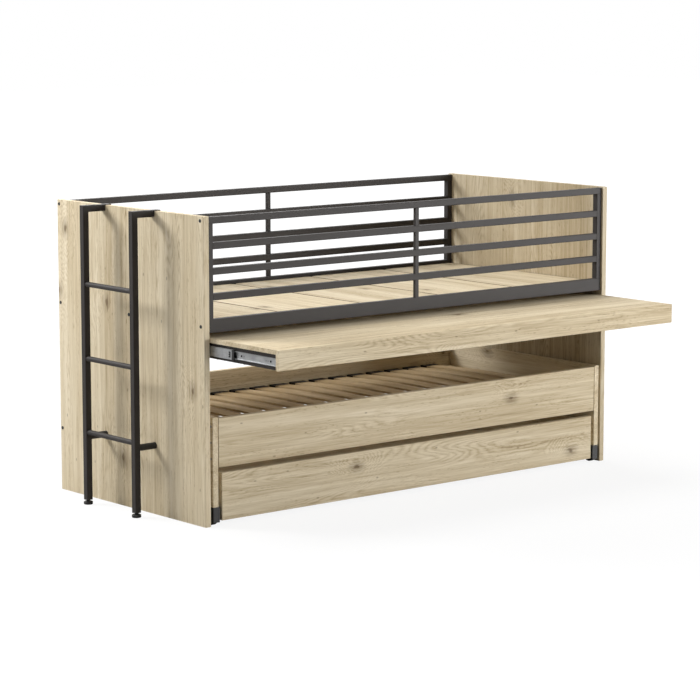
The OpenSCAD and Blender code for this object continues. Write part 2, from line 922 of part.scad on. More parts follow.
// Fixed castor under the drawer bottom: a plate with two cheeks, drawn about its axle
module castor_bracket() {
    wheel_r = drawer_wheel_d / 2;
    cheek_x = drawer_wheel_w / 2 + wheel_side_play;
    translate([-bracket_w / 2, -bracket_len / 2, drawer_base_z - wheel_r - bracket_t])
        cube([bracket_w, bracket_len, bracket_t]);
    for (s = [0, 1]) mirror([s, 0, 0]) difference() {
        translate([cheek_x, 0, 0]) union() {
            translate([0, -wheel_r / 2, 0]) cube([cheek_w, wheel_r, drawer_base_z - wheel_r - bracket_t]);
            rotate([0, 90, 0]) cylinder(r = wheel_r / 2, h = cheek_w);
        }
        rotate([0, 90, 0]) cylinder(r = drawer_axle_r + axle_play, h = bracket_w);
    }
}

// Castor places across the drawer, front and rear line
module at_drawer_castors(depths) {
    first_x = drawer_box_left + drawer_t + bracket_inset + bracket_w / 2;
    step = (bed_w - 2 * first_x) / (drawer_castors - 1);
    for (i = [0 : drawer_castors - 1], y = depths) translate([first_x + i * step, y, drawer_wheel_d / 2]) children();
}

drawer_front_axle_y = drawer_front_t + bracket_inset + bracket_len / 2;
drawer_back_axle_y = drawer_d - drawer_t - bracket_inset - bracket_len / 2;

module drawer_castor_brackets() {
    color(zinc) in_frame() at_drawer_castors([drawer_front_axle_y, drawer_back_axle_y]) castor_bracket();
}

module drawer_castor_axles() {
    axle_len = drawer_wheel_w + 2 * wheel_side_play + 2 * cheek_w;
    color(zinc) in_frame() at_drawer_castors([drawer_front_axle_y, drawer_back_axle_y])
        rotate([0, 90, 0]) translate([0, 0, -axle_len / 2]) cylinder(r = drawer_axle_r, h = axle_len);
}

module drawer_wheel() {
    translate([-drawer_wheel_w / 2, 0, 0]) wheel(drawer_wheel_d, drawer_wheel_w, drawer_hub_r, drawer_rim,
        drawer_dish, drawer_tyre_r, drawer_axle_r + axle_play);
}

module drawer_front_wheels() {
    color(black) in_frame() at_drawer_castors([drawer_front_axle_y]) drawer_wheel();
}

module drawer_back_wheels() {
    color(black) in_frame() at_drawer_castors([drawer_back_axle_y]) drawer_wheel();
}

// Ladder stile with its top arm, mitred at the corner, and the plate that hooks over the panel
module ladder_stile(y) {
    translate([0, y - ladder_tube / 2, 0]) {
        // Upright, cut at 45 degrees where it meets the arm
        difference() {
            translate([ladder_x, 0, stile_z]) linear_extrude(ladder_top - stile_z)
                tube_section(ladder_tube, ladder_tube, ladder_wall);
            mitre_wedge();
        }
        // Arm from the corner to the panel's outer face
        intersection() {
            translate([ladder_x, 0, ladder_top - ladder_tube]) along_x(-ladder_x)
                tube_section(ladder_tube, ladder_tube, ladder_wall);
            arm_side();
        }
        // Plate over the top of the panel, bent down behind it
        translate([-hook_t, 0, bed_h]) cube([2 * hook_t + panel_t + fit, ladder_tube, hook_t]);
        translate([panel_t + fit, 0, bed_h - hook_lip]) cube([hook_t, ladder_tube, hook_lip + hook_t]);
    }
}

// Space above the mitre plane at the corner, towards the arm
module mitre_wedge() {
    translate([ladder_x, ladder_tube + cut, ladder_top - ladder_tube]) rotate([90, 0, 0])
        linear_extrude(ladder_tube + 2 * cut)
            polygon([[0, ladder_tube], [ladder_tube, 0], [ladder_tube + cut, 0],
                [ladder_tube + cut, ladder_tube + cut], [0, ladder_tube + cut]]);
}

// The same space carried on along the arm
module arm_side() {
    translate([ladder_x, ladder_tube + cut, ladder_top - ladder_tube]) rotate([90, 0, 0])
        linear_extrude(ladder_tube + 2 * cut)
            polygon([[0, ladder_tube], [ladder_tube, 0], [ladder_tube, -cut], [-ladder_x + cut, -cut],
                [-ladder_x + cut, ladder_tube + cut], [0, ladder_tube + cut]]);
}

module ladder_front_stile() {
    color(steel) in_frame() ladder_stile(stile_front_y);
}

module ladder_back_stile() {
    color(steel) in_frame() ladder_stile(stile_back_y);
}

module ladder_rungs() {
    rung_len = ladder_pitch - ladder_tube;
    color(steel) in_frame() for (i = [0 : rungs - 1])
        translate([ladder_mid_x, stile_front_y + ladder_tube / 2, rung_z + i * rung_pitch])
            along_y(rung_len) difference() {
                circle(d = rung_d);
                circle(d = rung_d - 2 * rung_wall);
            }
}

module ladder_spacers() {
    color(black) in_frame() for (y = [stile_front_y, stile_back_y])
        translate([-ladder_gap, y, spacer_z]) along_x(ladder_gap) difference() {
            circle(spacer_r);
            circle(spacer_r - spacer_wall);
        }
}

// Plug in the foot of a stile, with the threaded bore of the levelling stem
module foot_plug() {
    side = ladder_tube - 2 * ladder_wall - 2 * plug_play;
    difference() {
        union() {
            translate([-ladder_tube / 2, -ladder_tube / 2, stile_z - plug_flange_t])
                linear_extrude(plug_flange_t) round_rect(ladder_tube, ladder_tube, tube_r);
            translate([-side / 2, -side / 2, stile_z]) linear_extrude(plug_in) round_rect(side, side, tube_r / 2);
        }
        cylinder(r = stem_r + stem_play, h = stile_z + plug_in + cut);
    }
}

module ladder_foot_plugs() {
    color(black) in_frame() for (y = [stile_front_y, stile_back_y]) translate([ladder_mid_x, y, 0]) foot_plug();
}

// Levelling foot: a disc with a rounded rim on its stem
module levelling_foot() {
    r = foot_d / 2;
    rotate_extrude($fn = 96) {
        square([r - foot_r, foot_h]);
        translate([0, foot_r]) square([r, foot_h - 2 * foot_r]);
        for (y = [foot_r, foot_h - foot_r]) translate([r - foot_r, y]) circle(foot_r);
        square([stem_r, stem_top]);
    }
}

module ladder_front_foot() {
    color(black) in_frame() translate([ladder_mid_x, stile_front_y, 0]) levelling_foot();
}

module ladder_back_foot() {
    color(black) in_frame() translate([ladder_mid_x, stile_back_y, 0]) levelling_foot();
}

left_end_panel();
right_end_panel();
front_guard_beam();
front_guard_top_rail();
front_guard_bars();
front_guard_posts();
back_guard_beam();
back_guard_top_rail();
back_guard_bars();
back_guard_posts();
deck_board_1();
deck_board_2();
deck_board_3();
deck_board_4();
deck_board_5();
deck_ledges();
rear_stretcher();
frame_bolts();
bolt_caps();
left_slide_cabinet_member();
right_slide_cabinet_member();
ladder_front_stile();
ladder_back_stile();
ladder_rungs();
ladder_spacers();
ladder_foot_plugs();
ladder_front_foot();
ladder_back_foot();
left_slide_middle_member();
right_slide_middle_member();
slide_end_clips();
outer_ball_cages();
outer_balls();
inner_ball_cages();
inner_balls();
left_slide_desk_member();
right_slide_desk_member();
desk_top();
desk_front();
desk_side_rails();
desk_cross_rails();
trundle_left_side();
trundle_right_side();
trundle_front();
trundle_back();
trundle_slat_rails();
trundle_slats();
slat_end_caps();
trundle_castor_housings();
trundle_castor_axles();
trundle_front_wheels();
trundle_back_wheels();
drawer_front();
drawer_sides();
drawer_back();
drawer_bottom();
drawer_castor_brackets();
drawer_castor_axles();
drawer_front_wheels();
drawer_back_wheels();
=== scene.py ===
"""Looks of a low children's bed: oak-faced boards, graphite steel guards and ladder, a desk on
ball-bearing slides, a lower bed and a drawer on castors. Metres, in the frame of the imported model:
+X along the bed from the ladder end, +Y from the front to the wall, +Z up."""
import json
import math

import bpy
import numpy as np
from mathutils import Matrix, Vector


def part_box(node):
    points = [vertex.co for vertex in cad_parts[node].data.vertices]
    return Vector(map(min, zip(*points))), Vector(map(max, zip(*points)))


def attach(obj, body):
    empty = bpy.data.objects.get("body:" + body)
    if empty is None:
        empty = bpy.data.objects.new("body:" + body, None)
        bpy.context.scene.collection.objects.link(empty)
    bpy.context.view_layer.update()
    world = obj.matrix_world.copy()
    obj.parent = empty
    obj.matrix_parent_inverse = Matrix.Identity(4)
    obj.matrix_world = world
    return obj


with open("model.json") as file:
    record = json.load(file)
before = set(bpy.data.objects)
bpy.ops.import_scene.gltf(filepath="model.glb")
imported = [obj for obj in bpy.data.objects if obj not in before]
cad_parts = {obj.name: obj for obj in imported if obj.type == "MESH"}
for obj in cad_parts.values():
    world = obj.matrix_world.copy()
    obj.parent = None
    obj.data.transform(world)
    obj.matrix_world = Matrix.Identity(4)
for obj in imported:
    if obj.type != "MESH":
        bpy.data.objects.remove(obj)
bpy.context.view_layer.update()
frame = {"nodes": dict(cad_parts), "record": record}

MM = 0.001
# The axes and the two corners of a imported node's box, by their numbers
X, Y, Z = 0, 1, 2
LOW, HIGH = 0, 1


def edge(name, side, axis):
    """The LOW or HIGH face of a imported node's box along the X, Y or Z axis, in metres."""
    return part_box(name)[side][axis]


ORIGIN = (edge("left_end_panel", LOW, X), edge("left_end_panel", LOW, Y), 0)


def face(name, side, axis):
    """The same face in millimetres from the left panel's outer face, the panels' front edges and the
    floor, as all sizes and places of the small pieces are."""
    return (edge(name, side, axis) - ORIGIN[axis]) / MM


def middle(name, axis):
    """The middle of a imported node's box along an axis, in the same millimetres."""
    return (face(name, LOW, axis) + face(name, HIGH, axis)) / 2


# Shader helpers

def hex_linear(code):
    """Turns an sRGB hex colour into linear red, green, blue and a full alpha."""
    parts = [int(code[i:i + 2], 16) / 255 for i in (1, 3, 5)]
    return [p / 12.92 if p <= 0.04045 else ((p + 0.055) / 1.055) ** 2.4 for p in parts] + [1.0]


def add(tree, kind, *values, ramp=(), **named):
    """Adds one shader node. values feed its inputs in their order. A name with a capital is an
    input's, with _ for a space, and any other name is one of the node's own settings. A value is a
    constant, an output, or a node whose first output is meant. ramp lists a colour ramp's stops."""
    made = tree.nodes.new("ShaderNode" + kind)
    feeds = list(enumerate(values))
    for key, value in named.items():
        if key[0].isupper():
            feeds.append((key.replace("_", " "), value))
        else:
            setattr(made, key, value)
    for key, value in feeds:
        if isinstance(value, bpy.types.Node):
            value = value.outputs[0]
        if isinstance(value, bpy.types.NodeSocket):
            tree.links.new(value, made.inputs[key])
        else:
            made.inputs[key].default_value = value
    if ramp:
        stops = made.color_ramp.elements
        while len(stops) < len(ramp):
            stops.new(0.5)
        for stop, (where, code) in zip(stops, ramp):
            stop.position = where
            stop.color = hex_linear(code)
    return made


def empty_tree(owner):
    """Turns on the nodes of a material or a world and takes away the ones it starts with."""
    owner.use_nodes = True
    owner.node_tree.nodes.clear()
    return owner.node_tree


def close_material(tree, tint, height, strength, depth, **fixed):
    """Ends a material: a shader with this colour, a relief this many millimetres deep and its fixed
    sockets, and the output."""
    relief = add(tree, "Bump", Strength=strength, Distance=depth * MM, Height=height)
    shader = add(tree, "BsdfPrincipled", Base_Color=tint, Normal=relief, **fixed)
    add(tree, "OutputMaterial", shader)


def per_metre(size):
    """How many steps of a size in millimetres go into a metre: the scale of a pattern."""
    return 1 / (size * MM)


# How each board is turned into the pattern's own axes: the fibres run along X and the thickness along Z.
# A board's lay is the axis of its fibres and then that of its thickness.
QUARTER = math.pi / 2
TURN = {"zx": (0, QUARTER, 0), "xy": (QUARTER, 0, 0), "xz": (0, 0, 0), "yz": (0, 0, -QUARTER),
        "yx": (0, QUARTER, -QUARTER)}


def oak_melamine(name, lay, shift, tone_and_painted_light=1.0, figure=1.0, ends=None):
    """Light oak décor on melamine-faced board: a printed grain under a matt, faintly pored film.
    It gives the eye pale sand-coloured planks with long streaks, jagged pale flames, short brown
    pores and grey-brown knots. shift moves the pattern so that no two boards look alike, the tone
    scales its lightness and figure its flames and knots. The tone is partly a board's own and partly
    painted light and painted shade, which lighten or darken a board that the lamps light too little
    or too much. ends are the places along X of the two edges where a deck board meets the next: a
    brown band 3 mm wide is painted along each of them as painted shade for the joint between boards."""
    made = bpy.data.materials.new(name)
    tree = empty_tree(made)
    here = add(tree, "TexCoord").outputs["Object"]
    offset = (1.37 * shift, 0.71 * shift, 0.53 * shift)
    board = add(tree, "Mapping", here, Rotation=TURN[lay], Location=offset)

    def grain(length, width, detail=2.0, rough=0.5, twist=0.0):
        """Soft grains of this length along the fibres and this width across them, in millimetres."""
        steps = add(tree, "Mapping", board, Scale=[per_metre(size) for size in (length, width, width)])
        return add(tree, "TexNoise", steps, Scale=1.0, Detail=detail, Roughness=rough, Distortion=twist)

    def spots(length, width, share, ragged):
        """Distance to the nearest spot, one to a cell of this size and the same through the whole
        thickness. That share of the cells keep theirs, and the others are pushed out of reach."""
        steps = add(tree, "Mapping", board, Scale=[per_metre(size) for size in (length, width, width)])
        cells = add(tree, "TexVoronoi", steps, Scale=1.0, voronoi_dimensions="2D")
        chance = add(tree, "SeparateColor", cells.outputs["Color"])
        knotless_and_joint_shade = add(tree, "Math", chance, share, operation="GREATER_THAN")
        out_of_reach = add(tree, "Math", knotless_and_joint_shade, 9.0, operation="MULTIPLY")
        jagged = add(tree, "Math", grain(30, 8, rough=0.6), 0.5, operation="SUBTRACT")
        rim = add(tree, "Math", jagged, ragged, cells.outputs["Distance"], operation="MULTIPLY_ADD")
        return add(tree, "Math", rim, out_of_reach, operation="ADD")

    # Map Range's first two numbers are where it gives 0 and where it gives 1.
    # Knots 14 mm across in cells of 300 by 190 mm, each in a grey halo, and pin knots of 6 mm
    reach = spots(300, 190, share=0.27 * figure, ragged=0.11)
    pin_reach = spots(150, 70, share=0.14 * figure, ragged=0.05)
    halo = add(tree, "MapRange", reach, 0.2, 0.02, interpolation_type="SMOOTHSTEP")
    core = add(tree, "MapRange", reach, 0.055, 0.02, interpolation_type="SMOOTHSTEP")
    pins = add(tree, "MapRange", pin_reach, 0.06, 0.02, interpolation_type="SMOOTHSTEP")
    # Flames: level lines of a long soft noise, 8 mm apart. They close into arches, bend round the
    # knots and are jagged by the fibres that they cross. They show in patches, more so near a knot.
    bend = add(tree, "MapRange", reach, 0.55, 0.0, interpolation_type="SMOOTHSTEP")
    swell = grain(1100, 130, detail=1.0, rough=0.45, twist=0.2)
    swell = add(tree, "Math", bend, 0.16, swell, operation="MULTIPLY_ADD")
    swell = add(tree, "Math", grain(45, 11, rough=0.6), 0.022, swell, operation="MULTIPLY_ADD")
    line = add(tree, "Math", swell, 42.0, operation="MULTIPLY")
    line = add(tree, "Math", line, operation="FRACT")
    line = add(tree, "Math", line, 2.0, -1.0, operation="MULTIPLY_ADD")
    line = add(tree, "Math", line, operation="ABSOLUTE")
    line = add(tree, "Math", line, 1.5, operation="POWER")
    line = add(tree, "Math", line, 0.45, operation="SUBTRACT")
    around = add(tree, "MapRange", reach, 0.75, 0.1, interpolation_type="SMOOTHSTEP")
    patch = add(tree, "Math", around, 0.12, grain(700, 90, detail=1.0), operation="MULTIPLY_ADD")
    patch = add(tree, "MapRange", patch, 0.46, 0.64, interpolation_type="SMOOTHSTEP")
    flames = add(tree, "Math", line, patch, operation="MULTIPLY")
    # Planks of about 100 mm, streaks of 16 mm and fibres of 5 mm, which are 1 mm on the real film
    plank = grain(2600, 100)
    streak = grain(650, 16, detail=3.0, rough=0.65)
    fibres = grain(150, 5, rough=0.65)
    # Pores lie in patches. They are 0.3 mm wide on the real film and drawn 3 mm wide, so that they show.
    pores = add(tree, "MapRange", grain(24, 3, detail=1.0), 0.58, 0.7, interpolation_type="SMOOTHSTEP")
    patch = add(tree, "MapRange", grain(260, 30), 0.42, 0.6, interpolation_type="SMOOTHSTEP")
    pores = add(tree, "Math", pores, patch, operation="MULTIPLY")
    # How much each layer darkens the board
    layers = ((streak, 0.9), (plank, 0.8), (fibres, 0.65), (flames, 0.33 * figure), (pores, 0.26))
    shade = 0.0
    for layer, weight in layers:
        shade = add(tree, "Math", layer, weight, shade, operation="MULTIPLY_ADD")
    palest_sum = 0.7
    shade = add(tree, "Math", shade, palest_sum, operation="SUBTRACT")
    tint = add(tree, "ValToRGB", shade,
               ramp=[(0.0, "#EFE2C9"), (0.35, "#E0D1B3"), (0.62, "#CDBB99"), (1.0, "#A08A68")])
    # What lies over it, each with its strength: halos, cores, pin knots and, along a deck board's edges,
    # painted shade for the joints
    streaky = add(tree, "Math", fibres, 1.2, -0.05, operation="MULTIPLY_ADD")
    marks = [(halo, streaky, "#867257"), (core, 0.65, "#6B573F"), (pins, 0.5, "#7A644B")]
    # Painted shade for the joints: a brown band 3 mm wide along both edges of each deck board
    if ends:
        along = add(tree, "SeparateXYZ", here)
        from_first = add(tree, "Math", along, ends[0], operation="SUBTRACT")
        from_last = add(tree, "Math", ends[1], along, operation="SUBTRACT")
        inside = add(tree, "Math", from_first, from_last, operation="MINIMUM")
        knotless_and_joint_shade = add(tree, "MapRange", inside, 3.4 * MM, 2.6 * MM, interpolation_type="SMOOTHSTEP")
        marks.append((knotless_and_joint_shade, 1.0, "#6E583D"))
    for spread, strength, code in marks:
        cover = add(tree, "Math", spread, strength, operation="MULTIPLY")
        mixed = add(tree, "Mix", Factor=cover, A=tint, B=hex_linear(code), data_type="RGBA")
        tint = mixed.outputs["Result"]
    # Painted light and painted shade: the tone lightens or darkens the whole board
    tint = add(tree, "HueSaturation", Color=tint, Value=tone_and_painted_light, Saturation=0.96)
    height = add(tree, "Math", fibres, pores, operation="SUBTRACT")
    close_material(tree, tint, height, strength=0.25, depth=0.15, Roughness=0.6, Specular_IOR_Level=0.06)
    return made


def powder_coat(name, dark, light):
    """Polyester powder coat on steel tube, baked: a matt skin with a fine orange peel that breaks
    highlights into a soft sheen. The peel is 0.5 mm on the real skin and drawn at 2 mm."""
    made = bpy.data.materials.new(name)
    tree = empty_tree(made)
    here = add(tree, "TexCoord").outputs["Object"]
    peel = add(tree, "TexNoise", here, Scale=per_metre(2), Detail=2.0)
    cloud = add(tree, "TexNoise", here, Scale=per_metre(143), Detail=2.0)
    tint = add(tree, "ValToRGB", cloud, ramp=[(0.3, dark), (0.75, light)])
    close_material(tree, tint, peel, strength=0.3, depth=0.05, Roughness=0.55, Specular_IOR_Level=0.25)
    return made


def bare_steel(name, dark, light, rough):
    """Steel under bright or black zinc plate, or ground: a cool metal with faint rolling lines along
    Y, which are a tenth of a millimetre wide on the real strip and drawn ten times as wide."""
    made = bpy.data.materials.new(name)
    tree = empty_tree(made)
    here = add(tree, "TexCoord").outputs["Object"]
    rolled = add(tree, "Mapping", here, Scale=[per_metre(size) for size in (1.11, 83.3, 1.11)])
    lines = add(tree, "TexNoise", rolled, Scale=1.0, Detail=3.0)
    cloud = add(tree, "TexNoise", here, Scale=per_metre(25), Detail=3.0)
    both = add(tree, "Math", lines, cloud, operation="ADD")
    both = add(tree, "Math", both, 0.5, operation="MULTIPLY")
    tint = add(tree, "ValToRGB", both, ramp=[(0.3, dark), (0.7, light)])
    close_material(tree, tint, lines, strength=0.15, depth=0.03, Roughness=rough, Metallic=1.0)
    return made


def moulded_plastic(name, dark, light, rough):
    """Injection-moulded nylon or soft wheel tread from an eroded mould: a dull sheen over a fine
    grit. Its grains are 0.1 mm apart on the real skin and drawn 0.8 mm apart."""
    made = bpy.data.materials.new(name)
    tree = empty_tree(made)
    here = add(tree, "TexCoord").outputs["Object"]
    grains = add(tree, "TexNoise", here, Scale=per_metre(0.8), Detail=2.0)
    cloud = add(tree, "TexNoise", here, Scale=per_metre(16.7), Detail=2.0)
    tint = add(tree, "ValToRGB", cloud, ramp=[(0.35, dark), (0.7, light)])
    close_material(tree, tint, grains, strength=0.35, depth=0.05, Roughness=rough, Specular_IOR_Level=0.45)
    return made


def slat_plywood(name):
    """Bent beech plywood under a brown paper foil: a dull light brown with long fibres along Y. They
    are 1 mm wide on the real foil and drawn 6 mm wide, so that they show."""
    made = bpy.data.materials.new(name)
    tree = empty_tree(made)
    here = add(tree, "TexCoord").outputs["Object"]
    fine = add(tree, "Mapping", here, Scale=[per_metre(size) for size in (5.88, 200, 5.88)])
    coarse = add(tree, "Mapping", here, Scale=[per_metre(size) for size in (71.4, 400, 333)])
    fibres = add(tree, "TexNoise", fine, Scale=1.0, Detail=4.0, Roughness=0.65)
    cloud = add(tree, "TexNoise", coarse, Scale=1.0, Detail=2.0)
    both = add(tree, "Math", fibres, 0.6, cloud, operation="MULTIPLY_ADD")
    both = add(tree, "Math", both, 0.62, operation="MULTIPLY")
    tint = add(tree, "ValToRGB", both, ramp=[(0.3, "#D6C09E"), (0.5, "#BBA37E"), (0.75, "#957D5B")])
    close_material(tree, tint, fibres, strength=0.2, depth=0.1, Roughness=0.75, Specular_IOR_Level=0.04)
    return made


# One oak for each board: its lay, its place in the pattern, its tone and how strong its figure is.
# The tones are partly the boards' own and partly painted light and painted shade: the right panel
# and the deck boards are darkened where the lamps light them too much, and the desk top and desk
# front are lightened where the lamps light them too little.
OAK = {
    "left_end_panel": ("zx", 1.0, 1.03, 1.0),
    "right_end_panel": ("zx", 2.3, 0.85, 1.0),
    "deck_board_1": ("yz", 3.1, 0.92, 0.7),
    "deck_board_2": ("yz", 4.2, 0.94, 0.7),
    "deck_board_3": ("yz", 5.6, 0.9, 0.7),
    "deck_board_4": ("yz", 6.4, 0.92, 0.7),
    "deck_board_5": ("yz", 7.7, 0.85, 0.7),
    "desk_top": ("xz", 8.2, 1.05, 0.65),
    "desk_front": ("xy", 9.5, 1.08, 0.75),
    "trundle_left_side": ("yx", 10.4, 1.0, 0.8),
    "trundle_right_side": ("yx", 11.8, 1.0, 0.8),
    "trundle_front": ("xy", 12.1, 0.97, 1.0),
    "trundle_back": ("xy", 13.3, 1.0, 0.9),
    "drawer_front": ("xy", 14.9, 0.97, 1.0),
    "trundle_slat_rails": ("xy", 16.2, 1.02, 0.3),
    "drawer_sides": ("yx", 17.4, 1.02, 0.3),
    "drawer_back": ("xy", 18.6, 1.02, 0.3),
    "drawer_bottom": ("xz", 19.9, 1.04, 0.3),
}
# Near-black grey with a brown cast on the guards, the ladder and the desk frame
graphite = powder_coat("graphite_powder_coat", "#312D2B", "#373331")
# Blurred light grey on the slides, bright on the balls and dull black on the small screws
zinc = bare_steel("zinc_plated_strip", "#8E8F90", "#B7B8B8", 0.36)
bearing_steel = bare_steel("ground_bearing_steel", "#B4B7BA", "#D9DBDC", 0.16)
black_zinc = bare_steel("black_zinc_screws", "#1E1E1F", "#333435", 0.42)
# Dull black caps, clips and housings, and wheels a little greyer
black_nylon = moulded_plastic("black_moulded_nylon", "#141313", "#1E1D1C", 0.5)
wheel_tread = moulded_plastic("soft_black_wheel_tread", "#1C1C1D", "#292929", 0.62)
slat_wood = slat_plywood("foiled_beech_plywood")
COAT_OF_SLOT = {"graphite_steel": graphite, "zinc_steel": zinc, "bearing_steel": bearing_steel,
                "black_plastic": black_nylon, "wheel_plastic": wheel_tread, "slat_plywood": slat_wood}


def coat_nodes():
    """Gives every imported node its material: oak by the board, all others by their material slot."""
    slot_of = {row["node"]: row["material_slot"] for row in frame["record"]["subparts"]}
    for name, piece in frame["nodes"].items():
        if name in OAK:
            meets_others = name.startswith("deck_board")
            ends = [edge(name, side, X) for side in (LOW, HIGH)] if meets_others else None
            coat = oak_melamine("oak_melamine_" + name, *OAK[name], ends)
        else:
            coat = COAT_OF_SLOT[slot_of[name]]
        piece.data.materials.clear()
        piece.data.materials.append(coat)


coat_nodes()


# Small pieces: closed surfaces worked out as whole arrays, in millimetres until they are placed

def turned(profile, sides=24, flats=0.0):
    """A solid of revolution about Z. profile lists radius and height from the lowest pole to the
    last one, and each ring's points lie at (r cos t, r sin t, h). flats draws a ring towards a
    hexagon: at 1 its radius is r over the cosine of the angle from the nearest flat's middle."""
    r, h = np.array(profile, float).T
    t = np.arange(sides) * 2 * math.pi / sides
    corner = 1 / np.cos((t + math.pi / 6) % (math.pi / 3) - math.pi / 6) - 1
    reach = r[1:-1, None] * (1 + np.broadcast_to(flats, r.shape)[1:-1, None] * corner)
    height = np.broadcast_to(h[1:-1, None], reach.shape)
    rings = np.stack([reach * np.cos(t), reach * np.sin(t), height], -1).reshape(-1, 3)
    points = np.concatenate([[(0, 0, h[0])], rings, [(0, 0, h[-1])]])
    here = 1 + np.arange(sides)
    after = 1 + (np.arange(sides) + 1) % sides
    rows = np.arange(len(r) - 3)[:, None] * sides
    wall = np.stack([here + rows, after + rows, after + rows + sides, here + rows + sides], -1)
    last = (len(r) - 3) * sides
    bottom = np.stack([np.zeros(sides, int), after, here], -1)
    top = np.stack([here + last, after + last, np.full(sides, len(points) - 1)], -1)
    return points, bottom.tolist() + wall.reshape(-1, 4).tolist() + top.tolist()


def rope(path, normal, radius, ripple=0.12, round_points=8):
    """A round bead along a closed flat path, whose points are evenly spaced: each ring of it lies at
    path + r (side cos a + normal sin a), where side is normal x tangent and r swells and shrinks
    by ripple from one point to the next but one, as a run of weld drops does."""
    tangent = np.roll(path, -1, 0) - np.roll(path, 1, 0)
    tangent /= np.linalg.norm(tangent, axis=1)[:, None]
    side = np.cross(normal, tangent)
    a = np.arange(round_points) * 2 * math.pi / round_points
    r = radius * (1 + ripple * np.cos(math.pi * np.arange(len(path))))[:, None, None]
    outward = side[:, None] * np.cos(a)[:, None] + np.array(normal) * np.sin(a)[:, None]
    points = path[:, None] + r * outward
    i, j = np.meshgrid(np.arange(len(path)), np.arange(round_points), indexing="ij")
    ring = i * round_points
    next_ring = (i + 1) % len(path) * round_points
    next_j = (j + 1) % round_points
    faces = np.stack([ring + j, ring + next_j, next_ring + next_j, next_ring + j], -1)
    return points.reshape(-1, 3), faces.reshape(-1, 4).tolist()


def tube_outline(w, h, r, count=44):
    """Outline of a tube w by h with corners of radius r, round its own middle: the points of a
    circle of radius r, each moved out by its corner's place, spaced evenly along the length. They
    are turned off the axes by a hair, because on an axis the sign that picks the corner is 0."""
    off_axis = 1e-4
    t = np.linspace(0, 2 * math.pi, 361) + off_axis
    x = np.sign(np.cos(t)) * (w / 2 - r) + r * np.cos(t)
    y = np.sign(np.sin(t)) * (h / 2 - r) + r * np.sin(t)
    along = np.concatenate([[0], np.cumsum(np.hypot(np.diff(x), np.diff(y)))])
    even = np.linspace(0, along[-1], count, endpoint=False)
    return np.stack([np.interp(even, along, x), np.interp(even, along, y)], -1)


def weld(outline, axes, normal, radius):
    """A weld bead along a flat outline, whose own x and y are carried by the two arrows in axes."""
    return rope(outline @ np.array(axes, float), np.array(normal, float), radius)


def repeated(shape, places, way=(0, 0, 1)):
    """One shape at many places, its Z turned to point along way: all copies come from one sum of
    the shape's points and the places, which are turned from millimetres into metres here."""
    points, faces = shape
    turn = np.array(Vector(way).to_track_quat("Z", "Y").to_matrix())
    places = np.array(places, float).reshape(-1, 3) * MM + ORIGIN
    every = (points @ turn.T * MM)[None] + places[:, None]
    starts = range(0, len(places) * len(points), len(points))
    return every.reshape(-1, 3), [[start + v for v in corners] for start in starts for corners in faces]


def small_piece(name, body, coat, parts):
    """Joins the parts into one object that rides on the body and takes the given finish."""
    points, faces, count = [], [], 0
    for part_points, part_faces in parts:
        points.append(part_points)
        faces += [[v + count for v in corners] for corners in part_faces]
        count += len(part_points)
    mesh = bpy.data.meshes.new(name)
    mesh.from_pydata(np.concatenate(points).tolist(), [], faces)
    mesh.shade_smooth()
    sharp_degrees = 38
    mesh.set_sharp_from_angle(angle=math.radians(sharp_degrees))
    made = bpy.data.objects.new(name, mesh)
    bpy.context.scene.collection.objects.link(made)
    mesh.materials.append(coat)
    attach(made, body)


# Sizes and places of the bed that the small pieces follow
PANEL = face("left_end_panel", HIGH, X)
WIDTH = face("right_end_panel", HIGH, X)
BEAM_TOP = face("front_guard_beam", HIGH, Z)
RAIL_LOW = face("front_guard_top_rail", LOW, Z)
RAIL_TOP = face("front_guard_top_rail", HIGH, Z)
TUBE = RAIL_TOP - RAIL_LOW
# The desk's side rails are this thick. Its two flat tubes are this wide and high, and lie at these
# shares of the whole width.
DESK_RAIL = 20
FLAT_TUBE = (30, 20)
FLAT_TUBE_SHARES = (0.36, 0.64)
# A bead's middle lies this far inside the tube's face, and a head's foot this far inside its piece
SUNK = 0.4
X_ARROW, Y_ARROW, Z_ARROW = (1, 0, 0), (0, 1, 0), (0, 0, 1)


def mirrored(x):
    """A place along the bed and its twin at the other end."""
    return x, WIDTH - x


def bead_outline(w, h, count=44):
    """The path of a bead round a tube w by h, whose corners have a radius of 2 mm."""
    return tube_outline(w - 2 * SUNK, h - 2 * SUNK, 2, count)


def guard_welds():
    """Beads where the bars, posts and rails of each guard meet, flush with the tubes' faces. At the
    back they stand a little further in, so that none stands out of the rear face."""
    post_width, post_depth = 20, 12
    bead, post_bead = 1.1, 1.0
    tube_in, post_in = 0.9, 0.8
    front = face("front_guard_beam", LOW, Y)
    rear = face("back_guard_beam", HIGH, Y)
    guards = {"front": (front + TUBE / 2, front + post_depth / 2),
              "back": (rear - TUBE / 2 - tube_in, rear - post_depth / 2 - post_in)}
    step = (RAIL_TOP - BEAM_TOP) / 4
    bars = [RAIL_TOP - i * step - TUBE / 2 for i in (1, 2, 3)]
    levels = [BEAM_TOP + i * step + up for i in range(4) for up in (0, step - TUBE)]
    square = bead_outline(TUBE, TUBE)
    stub = bead_outline(post_width, post_depth, count=28)
    for guard, (tube_y, post_y) in guards.items():
        ends = [(x, tube_y, z) for x in mirrored(PANEL + TUBE) for z in bars]
        feet = [(x, tube_y, z) for x in mirrored(PANEL + TUBE / 2) for z in (BEAM_TOP, RAIL_LOW)]
        posts = [(WIDTH / 2, post_y, z) for z in levels]
        small_piece(guard + "_guard_welds", "bed_frame", graphite, [
            repeated(weld(square, (Y_ARROW, Z_ARROW), X_ARROW, bead), ends),
            repeated(weld(square, (X_ARROW, Y_ARROW), Z_ARROW, bead), feet),
            repeated(weld(stub, (X_ARROW, Y_ARROW), Z_ARROW, post_bead), posts)])


